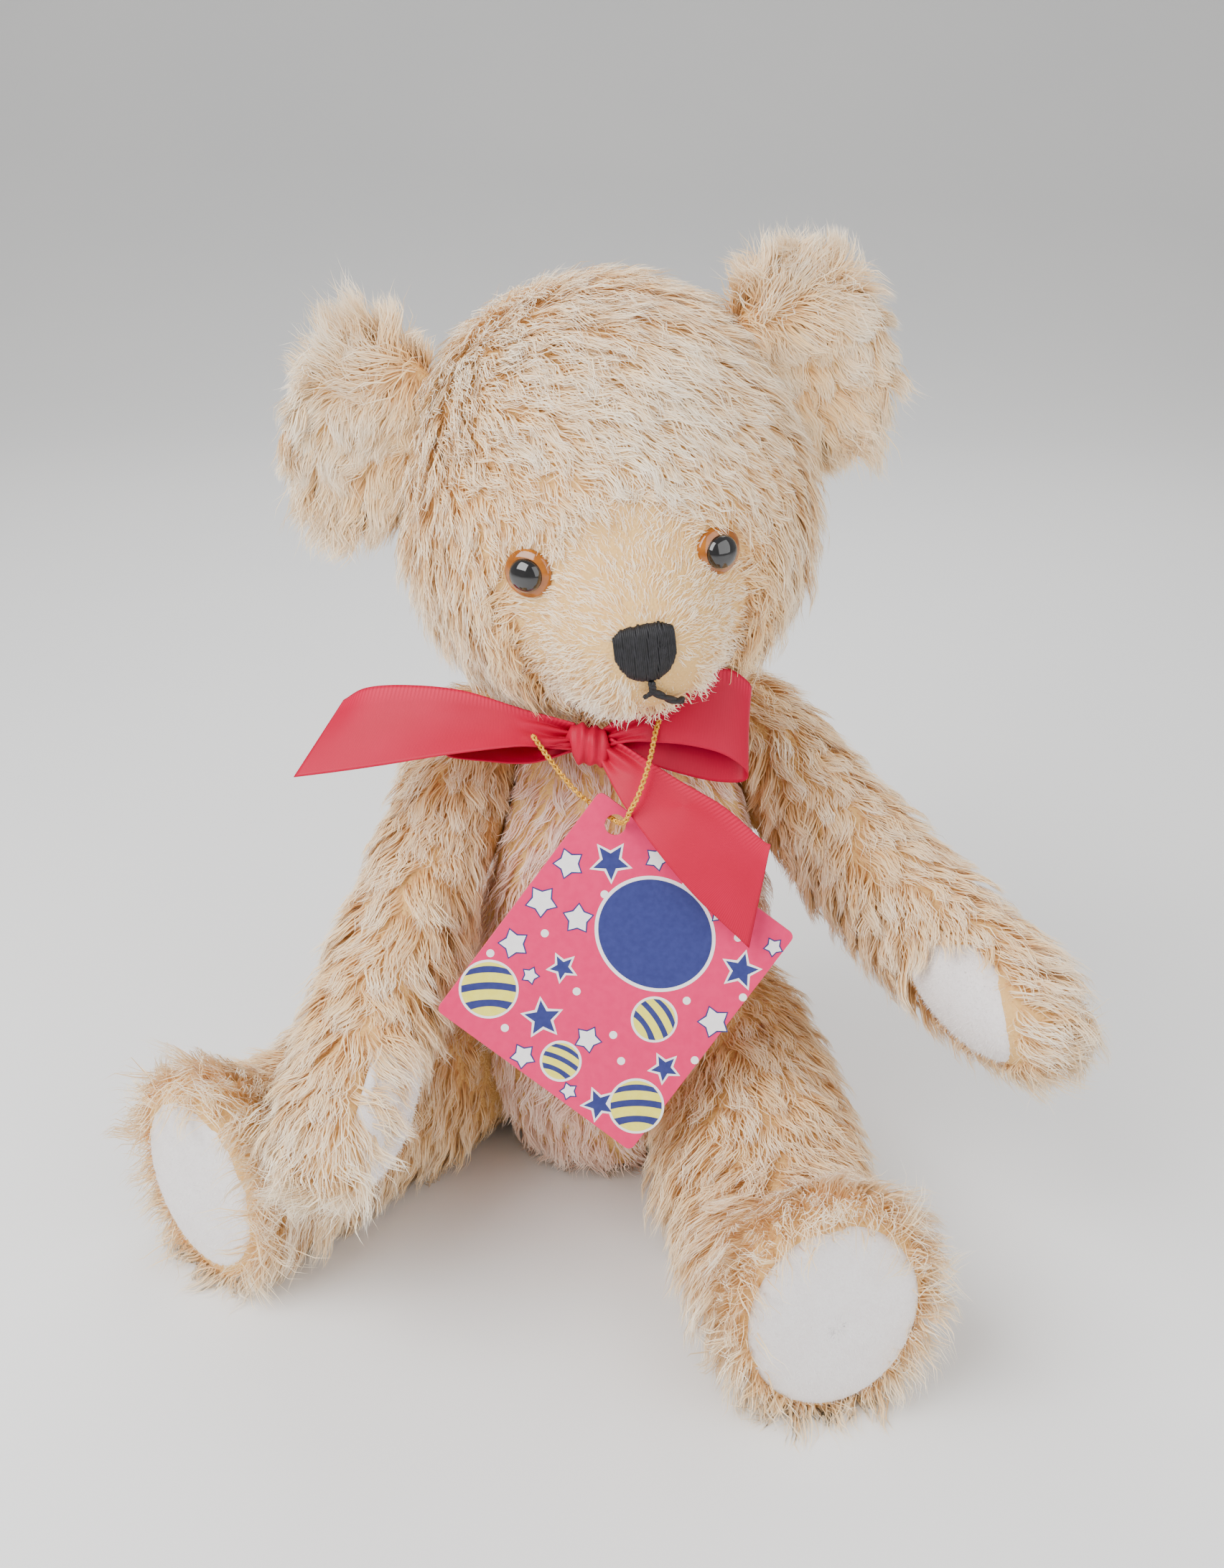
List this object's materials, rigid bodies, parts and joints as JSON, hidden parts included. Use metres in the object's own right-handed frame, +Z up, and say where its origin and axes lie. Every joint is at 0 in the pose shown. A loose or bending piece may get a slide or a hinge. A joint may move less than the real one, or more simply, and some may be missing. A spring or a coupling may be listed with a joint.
{
  "type": "jointed teddy bear",
  "caption": "Seated jointed teddy bear with long curly pile, felt pads, stitched nose, satin bow and a folded card tag on a cord; head, arms and legs turn on disc joints.",
  "frame": {"origin": "on the floor, under the middle of the bear's outline", "axes": "+Z up; the torso faces -Y; +X is the bear's left"},
  "size_m": [0.2342, 0.1688, 0.2452],
  "materials": {
    "mohair": "long honey-blonde mohair pile",
    "felt": "pale wool felt",
    "stuffing": "loose white fibre",
    "joint_disc": "plain hardboard",
    "steel": "plated",
    "eye_amber": "polished amber",
    "pupil": "polished black",
    "black_thread": "satin stitch",
    "satin": "red satin",
    "gold_cord": "braided metallic thread",
    "tag_card": "coated printed card"
  },
  "bodies": {
    "arm_left": {"arm_left_bolt_washer_nut": "steel", "arm_left_disc": "joint_disc", "arm_left_inner_panel": "mohair", "arm_left_outer_panel": "mohair", "arm_left_stuffing": "stuffing", "paw_pad_left": "felt"},
    "arm_right": {"arm_right_bolt_washer_nut": "steel", "arm_right_disc": "joint_disc", "arm_right_inner_panel": "mohair", "arm_right_outer_panel": "mohair", "arm_right_stuffing": "stuffing", "paw_pad_right": "felt"},
    "torso": {"bow_loop_left": "satin", "bow_loop_right": "satin", "hip_inner_discs": "joint_disc", "neck_lower_disc": "joint_disc", "ribbon_knot": "satin", "ribbon_neckband": "satin", "ribbon_tail_left": "satin", "ribbon_tail_right": "satin", "shoulder_inner_discs": "joint_disc", "tag_cord": "gold_cord", "torso_panel_left": "mohair", "torso_panel_right": "mohair", "torso_stuffing": "stuffing", "torso_washers": "steel"},
    "head": {"ear_left_back": "mohair", "ear_left_front": "mohair", "ear_right_back": "mohair", "ear_right_front": "mohair", "eye_left": "eye_amber", "eye_lock_washers": "steel", "eye_right": "eye_amber", "head_gusset": "mohair", "head_panel_left": "mohair", "head_panel_right": "mohair", "head_stuffing": "stuffing", "mouth": "black_thread", "neck_bolt_washer_nut": "steel", "neck_disc": "joint_disc", "nose": "black_thread", "pupil_left": "pupil", "pupil_right": "pupil"},
    "leg_left": {"foot_pad_left": "felt", "leg_left_bolt_washer_nut": "steel", "leg_left_disc": "joint_disc", "leg_left_inner_panel": "mohair", "leg_left_outer_panel": "mohair", "leg_left_stuffing": "stuffing"},
    "leg_right": {"foot_pad_right": "felt", "leg_right_bolt_washer_nut": "steel", "leg_right_disc": "joint_disc", "leg_right_inner_panel": "mohair", "leg_right_outer_panel": "mohair", "leg_right_stuffing": "stuffing"},
    "tag": {"tag_back_leaf": "tag_card", "tag_front_leaf": "tag_card"}
  },
  "joints": [
    {"name": "neck_turn", "type": "hinge", "parent": "torso", "child": "head", "pos_m": [0.01034, 0.0394, 0.141], "axis": [-0.1392, 0, 0.9903], "continuous": true},
    {"name": "shoulder_left", "type": "hinge", "parent": "torso", "child": "arm_left", "pos_m": [0.03284, 0.0509, 0.113], "axis": [-0.8758, -0.4271, -0.225], "range_deg": [-40, 55]},
    {"name": "shoulder_right", "type": "hinge", "parent": "torso", "child": "arm_right", "pos_m": [-0.01966, 0.0424, 0.113], "axis": [-0.9707, 0.0849, 0.225], "range_deg": [-8, 20]},
    {"name": "hip_left", "type": "hinge", "parent": "torso", "child": "leg_left", "pos_m": [0.01434, 0.0274, 0.0321], "axis": [-0.9853, -0.1561, 0.0698], "range_deg": [-90, 8]},
    {"name": "hip_right", "type": "hinge", "parent": "torso", "child": "leg_right", "pos_m": [-0.01066, 0.0414, 0.0321], "axis": [-0.7861, 0.6142, -0.0698], "range_deg": [-90, 8]},
    {"name": "tag_swing", "type": "hinge", "parent": "torso", "child": "tag", "pos_m": [0.00614, -0.0093, 0.123], "axis": [0, -0.9336, 0.3584], "range_deg": [-4, 6]}
  ]
}
